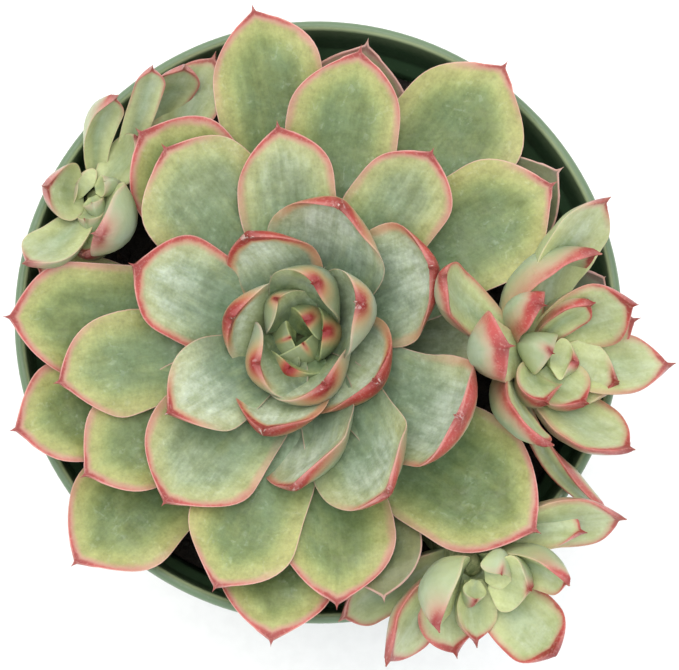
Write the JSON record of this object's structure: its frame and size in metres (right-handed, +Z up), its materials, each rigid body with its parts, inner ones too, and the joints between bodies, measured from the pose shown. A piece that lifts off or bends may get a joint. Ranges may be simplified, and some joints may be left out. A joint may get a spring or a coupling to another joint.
{
  "type": "potted echeveria pulidonis",
  "caption": "Fleshy-leaved succulent with one large rosette and three offset rosettes, growing in a filled round nursery pot with a rolled lip.",
  "frame": {"origin": "centre of the pot's flat foot, on the surface it stands on", "axes": "+Z up along the pot's axis; +X to the right and +Y to the top as the picture shows the plant from above"},
  "size_m": [0.118, 0.1166, 0.1128],
  "materials": {
    "pot_plastic": "thin thermoformed polypropylene, dark green, slightly glossy on the lip",
    "potting_soil": "moist peat and fine bark, nearly black, crumbly",
    "leaves": "fleshy leaf skin, pale green with a waxy bloom, yellow towards the edge, red margin and point"
  },
  "bodies": {
    "root": {"pot": "pot_plastic", "soil": "potting_soil", "main_rosette": "leaves", "offset_rosette_right": "leaves", "offset_rosette_lower": "leaves", "offset_rosette_upper_left": "leaves"}
  },
  "joints": []
}
